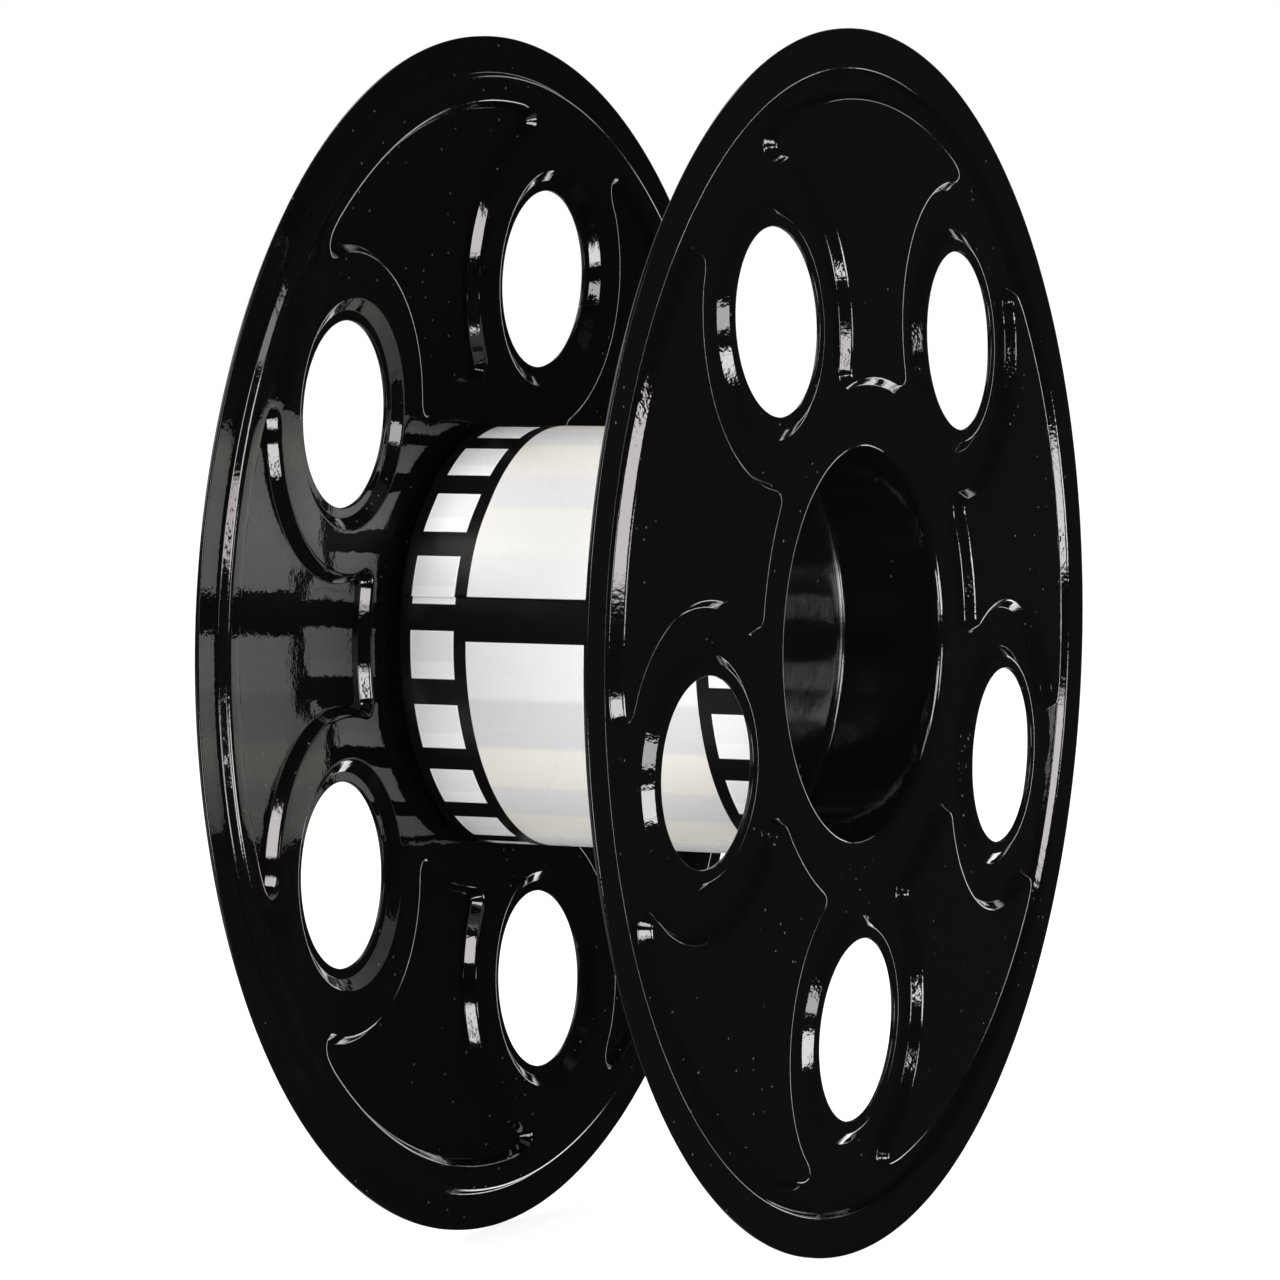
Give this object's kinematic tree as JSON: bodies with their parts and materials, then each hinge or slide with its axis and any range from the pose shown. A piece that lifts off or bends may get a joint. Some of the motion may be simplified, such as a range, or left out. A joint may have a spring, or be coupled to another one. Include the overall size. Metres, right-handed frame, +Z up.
{
  "type": "display film reel",
  "caption": "Display film reel: two glossy black formed flanges with hub cups plug into a card tube wrapped with a printed film strip.",
  "frame": {"origin": "on the table, midway between the two rims and under the reel's axis", "axes": "+X along the reel's axis, towards the right half; +Z up; the reel stands on its two rims"},
  "size_m": [0.1108, 0.3048, 0.3048],
  "materials": {
    "black_plastic": "high gloss vacuum-formed sheet with faint orange peel",
    "tube_card": "plain brown spiral-wound card",
    "printed_card": "glossy coated card printed with a film strip",
    "clear_tape": "clear double-sided tape"
  },
  "bodies": {
    "core": {"core_tube": "tube_card", "film_strip_wrap": "printed_card", "start_tape": "clear_tape", "seam_tape": "clear_tape"},
    "right_half": {"right_reel_half": "black_plastic"},
    "left_half": {"left_reel_half": "black_plastic"}
  },
  "joints": [
    {"name": "right_half_pull", "type": "slide", "parent": "core", "child": "right_half", "axis": [1, 0, 0], "range_m": [0, 0.03]},
    {"name": "left_half_turn", "type": "hinge", "parent": "core", "child": "left_half", "pos_m": [0, 0, 0.1524], "axis": [1, 0, 0], "continuous": true}
  ]
}
